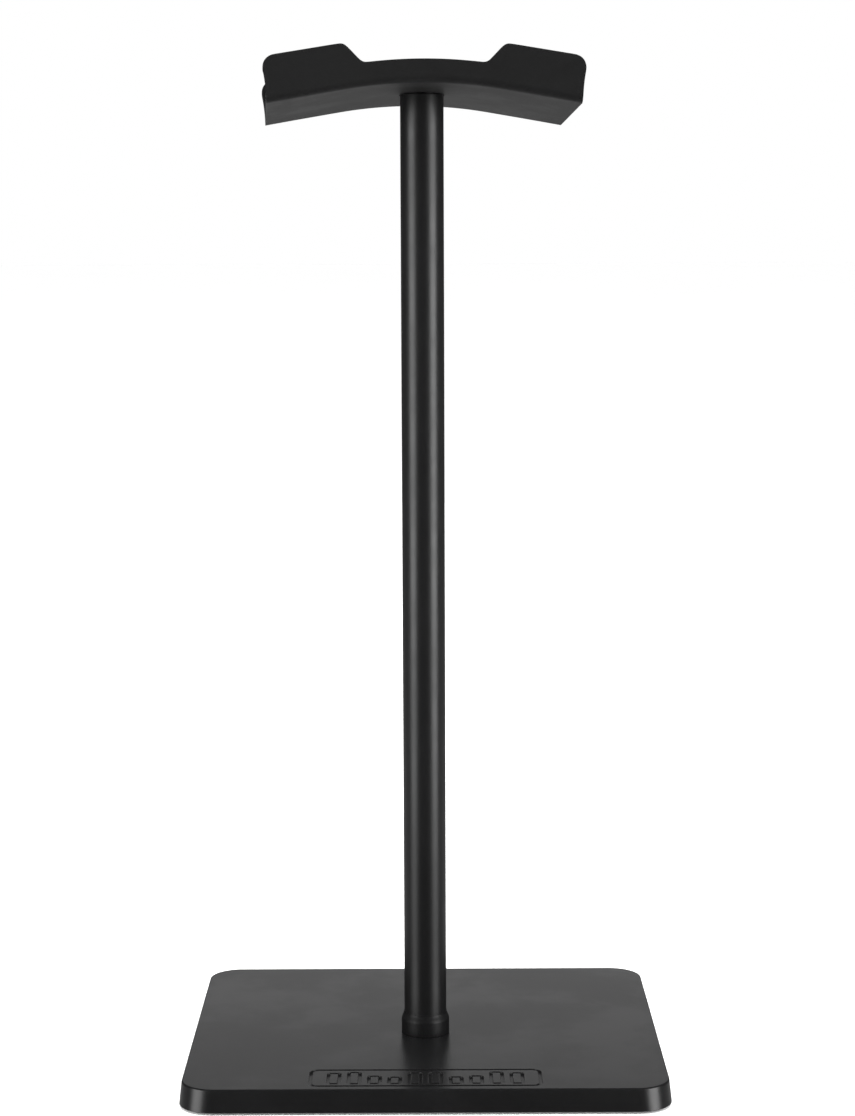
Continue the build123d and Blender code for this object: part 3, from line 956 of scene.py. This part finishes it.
class STAND_OT_softened(bpy.types.Operator):
    """Round the sharp edges of the bottom plate, the fasteners, the hub and the screw's cover"""

    bl_idname = "stand.softened"
    bl_label = "Plate, fasteners and hub"

    def execute(self, context):
        for node, (name, body, edge, slot) in SOFTENED.items():
            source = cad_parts[node].data
            bm = bmesh.new()
            bm.from_mesh(source)
            bmesh.ops.remove_doubles(bm, verts=bm.verts, dist=CARRIED_MERGE)
            bmesh.ops.dissolve_limit(
                bm, angle_limit=radians(1.0), use_dissolve_boundaries=False, verts=bm.verts, edges=bm.edges
            )
            piece = piece_from(bm, name, source.materials[0], body, node)
            round_edges(piece, edge * MM, segments=2, angle=40.0)
            keep_flats(piece)
        return {"FINISHED"}


# ------------------------------------------------------------------ carried-over pieces
class STAND_OT_carried_finishes(bpy.types.Operator):
    """Give a finish to each piece that keeps its CAD shape, or keeps it but for rounded edges"""

    bl_idname = "stand.carried_finishes"
    bl_label = "Finishes of the carried-over pieces"

    def execute(self, context):
        zinc = metal_finish("zinc plated steel", ZINC_TINT, roughness=0.32, mark_scale=9000.0)
        brass = metal_finish("turned brass", BRASS_TINT, roughness=0.30, mark_scale=7000.0)
        steel = metal_finish("oiled mild steel", STEEL_TINT, roughness=0.42, mark_scale=900.0)
        groups = (
            (steel, ("ballast_plate",)),
            (brass, ("lower_insert", "upper_insert")),
            (zinc, ("bottom_plate_screws", "pole_bolt", "pole_bolt_washer", "pole_bolt_lock_washer")),
            (zinc, ("swivel_wave_washer", "swivel_top_washer", "swivel_screw")),
            (plate_finish(), ("bottom_plate", "saddle_core")),
            (collar_finish(), ("swivel_washer",)),
            (elastomer_finish(), ("screw_cover",)),
        )
        for finish, names in groups:
            for name in names:
                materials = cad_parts[name].data.materials
                materials.clear()
                materials.append(finish)
        return {"FINISHED"}


# ------------------------------------------------------------------ stage
# Side lights: name, middle and power of each, then the width of both and the height that the power is given
# for. Each is built as a low and a high part, from and to a height above its middle. Only the low part shows
# in reflections, so that level faces don't glare when they are seen from behind.
AIM = Vector((0.0, 0.0, 0.12))
SIDE_LIGHTS = (("left", Vector((-0.92, -0.58, 0.30)), 12.6), ("right", Vector((0.92, -0.58, 0.30)), 15.6))
SIDE_WIDTH = 0.66
SIDE_HEIGHT = 1.10
SIDE_PARTS = (("low", -0.51, 0.08), ("high", 0.08, 0.55))

# What reflections show of the room: all round, more behind the stand, and the lit floor behind it.
ROOM_GLOW = 0.052
BACK_GLOW = 0.037
FLOOR_GLOW = 0.50


def softbox(name, place, target, width, height, power):
    """A rectangular soft light that looks at a point and isn't seen by the camera."""
    light = bpy.data.lights.new(name, "AREA")
    light.shape = "RECTANGLE"
    light.size = width
    light.size_y = height
    light.energy = power
    lamp = bpy.data.objects.new(name, light)
    bpy.context.collection.objects.link(lamp)
    lamp.location = place
    lamp.rotation_euler = (target - Vector(place)).to_track_quat("-Z", "Y").to_euler()
    lamp.visible_camera = False
    return lamp


def studio_air():
    """White all round for the camera and for soft light, and a dim room in reflections."""
    world = bpy.data.worlds.new("studio air")
    world.use_nodes = True
    world.node_tree.nodes.clear()
    n = Nodes(world.node_tree)
    mirrored = n.add("ShaderNodeLightPath").outputs["Is Glossy Ray"]
    toward = n.add("ShaderNodeSeparateXYZ", {0: n.add("ShaderNodeTexCoord").outputs["Generated"]})
    behind = n.ramp(toward.outputs["Y"], -0.2, 0.3)
    below = n.ramp(toward.outputs["Z"], -0.10, -0.34)
    lit_floor = n.math("MULTIPLY", n.math("MULTIPLY", behind, below), FLOOR_GLOW)
    walls = n.math("ADD", n.math("MULTIPLY", behind, BACK_GLOW), ROOM_GLOW)
    room = n.math("ADD", walls, lit_floor)
    bright = n.add("ShaderNodeBackground", {"Color": (*WHITE, 1.0), "Strength": 1.0})
    dim = n.add("ShaderNodeBackground", {"Color": (*WHITE, 1.0), "Strength": room})
    either = n.add("ShaderNodeMixShader", {0: mirrored, 1: bright.outputs[0], 2: dim.outputs[0]})
    n.add("ShaderNodeOutputWorld", {"Surface": either.outputs[0]})
    return world


def studio_floor(tint):
    """A pale matt floor, left out of reflections."""
    bm = bmesh.new()
    bmesh.ops.create_grid(bm, x_segments=2, y_segments=2, size=12.0)
    mesh = bpy.data.meshes.new("studio_floor")
    bm.to_mesh(mesh)
    bm.free()
    floor = bpy.data.objects.new("studio_floor", mesh)
    bpy.context.scene.collection.objects.link(floor)
    material, n, shader = new_material("pale floor")
    cloudy = n.noise(n.place(), 2.0, detail=2.0, roughness=0.5)
    tone = mixed_colour(n, cloudy, tuple(tint), scaled(tint, 1.02))
    n.tree.links.new(tone, shader.inputs["Base Color"])
    shader.inputs["Roughness"].default_value = 0.9
    shader.inputs["Specular IOR Level"].default_value = 0.1
    shader.inputs["Emission Color"].default_value = (*WHITE, 1.0)
    shader.inputs["Emission Strength"].default_value = 0.12
    mesh.materials.append(material)
    floor.visible_glossy = False


def side_light(name, middle, power):
    """One side light in two parts, one above the other in one plane that faces the stand."""
    facing = (AIM - middle).normalized()
    rising = (Vector((0.0, 0.0, 1.0)) - facing * facing.z).normalized()
    for part, low, high in SIDE_PARTS:
        place = middle + rising * (low + high) / 2
        height = high - low
        part_power = power * height / SIDE_HEIGHT
        lamp = softbox(f"{name}_softbox_{part}", place, place + facing, SIDE_WIDTH, height, part_power)
        lamp.visible_glossy = part == "low"


def studio_camera(studio):
    """The scene's camera, in front of the stand."""
    view = bpy.data.cameras.new("camera")
    view.lens = studio.lens
    view.sensor_width = 36.0
    view.clip_end = 50.0
    camera = bpy.data.objects.new("camera", view)
    bpy.context.scene.collection.objects.link(camera)
    camera.location = (studio.camera_side, -studio.camera_back, studio.camera_up)
    tilt = Matrix.Rotation(pi / 2 - studio.camera_pitch, 4, "X")
    camera.rotation_euler = (tilt @ Matrix.Rotation(studio.camera_roll, 4, "Z")).to_euler()
    bpy.context.scene.camera = camera


class STAND_OT_studio(bpy.types.Operator):
    """Set up the pale floor, the soft lights and the camera"""

    bl_idname = "stand.studio"
    bl_label = "Studio"

    def execute(self, context):
        studio = settings("stand_studio")
        context.scene.view_settings.view_transform = "Standard"
        context.scene.view_settings.look = "None"
        context.scene.world = studio_air()
        studio_floor(studio.floor_tint)
        for name, middle, power in SIDE_LIGHTS:
            side_light(name, middle, power)
        overhead = softbox("overhead_softbox", (0.0, -0.15, 1.25), AIM, 1.3, 1.3, power=26.0)
        overhead.visible_glossy = False
        softbox("back_panel", (0.0, 1.30, 0.22), AIM, 0.70, 0.40, power=0.6)
        studio_camera(studio)
        return {"FINISHED"}


# ------------------------------------------------------------------ panel and registration
class STAND_PT_sidebar(bpy.types.Panel):
    """Lists the stand's operators"""

    bl_idname = "STAND_PT_sidebar"
    bl_label = "Headphone stand"
    bl_space_type = "VIEW_3D"
    bl_region_type = "UI"
    bl_category = "Stand"

    def draw(self, context):
        for operator in STEPS:
            self.layout.operator(operator.bl_idname)


STEPS = (
    STAND_OT_studio,
    STAND_OT_carried_finishes,
    STAND_OT_cradle,
    STAND_OT_pole,
    STAND_OT_collar,
    STAND_OT_base,
    STAND_OT_feet,
    STAND_OT_softened,
)
GROUPS = {
    "stand_cradle": STAND_PG_cradle,
    "stand_pole": STAND_PG_pole,
    "stand_base": STAND_PG_base,
    "stand_studio": STAND_PG_studio,
}
CLASSES = (*GROUPS.values(), *STEPS, STAND_PT_sidebar)


def register():
    for cls in CLASSES:
        bpy.utils.register_class(cls)
    for name, group in GROUPS.items():
        setattr(bpy.types.Scene, name, bpy.props.PointerProperty(type=group))


def unregister():
    for name in GROUPS:
        delattr(bpy.types.Scene, name)
    for cls in reversed(CLASSES):
        bpy.utils.unregister_class(cls)


def main():
    """Builds the stand and its studio."""
    register()
    for operator in STEPS:
        family, name = operator.bl_idname.split(".")
        getattr(getattr(bpy.ops, family), name)()


if __name__ == "__main__":
    main()
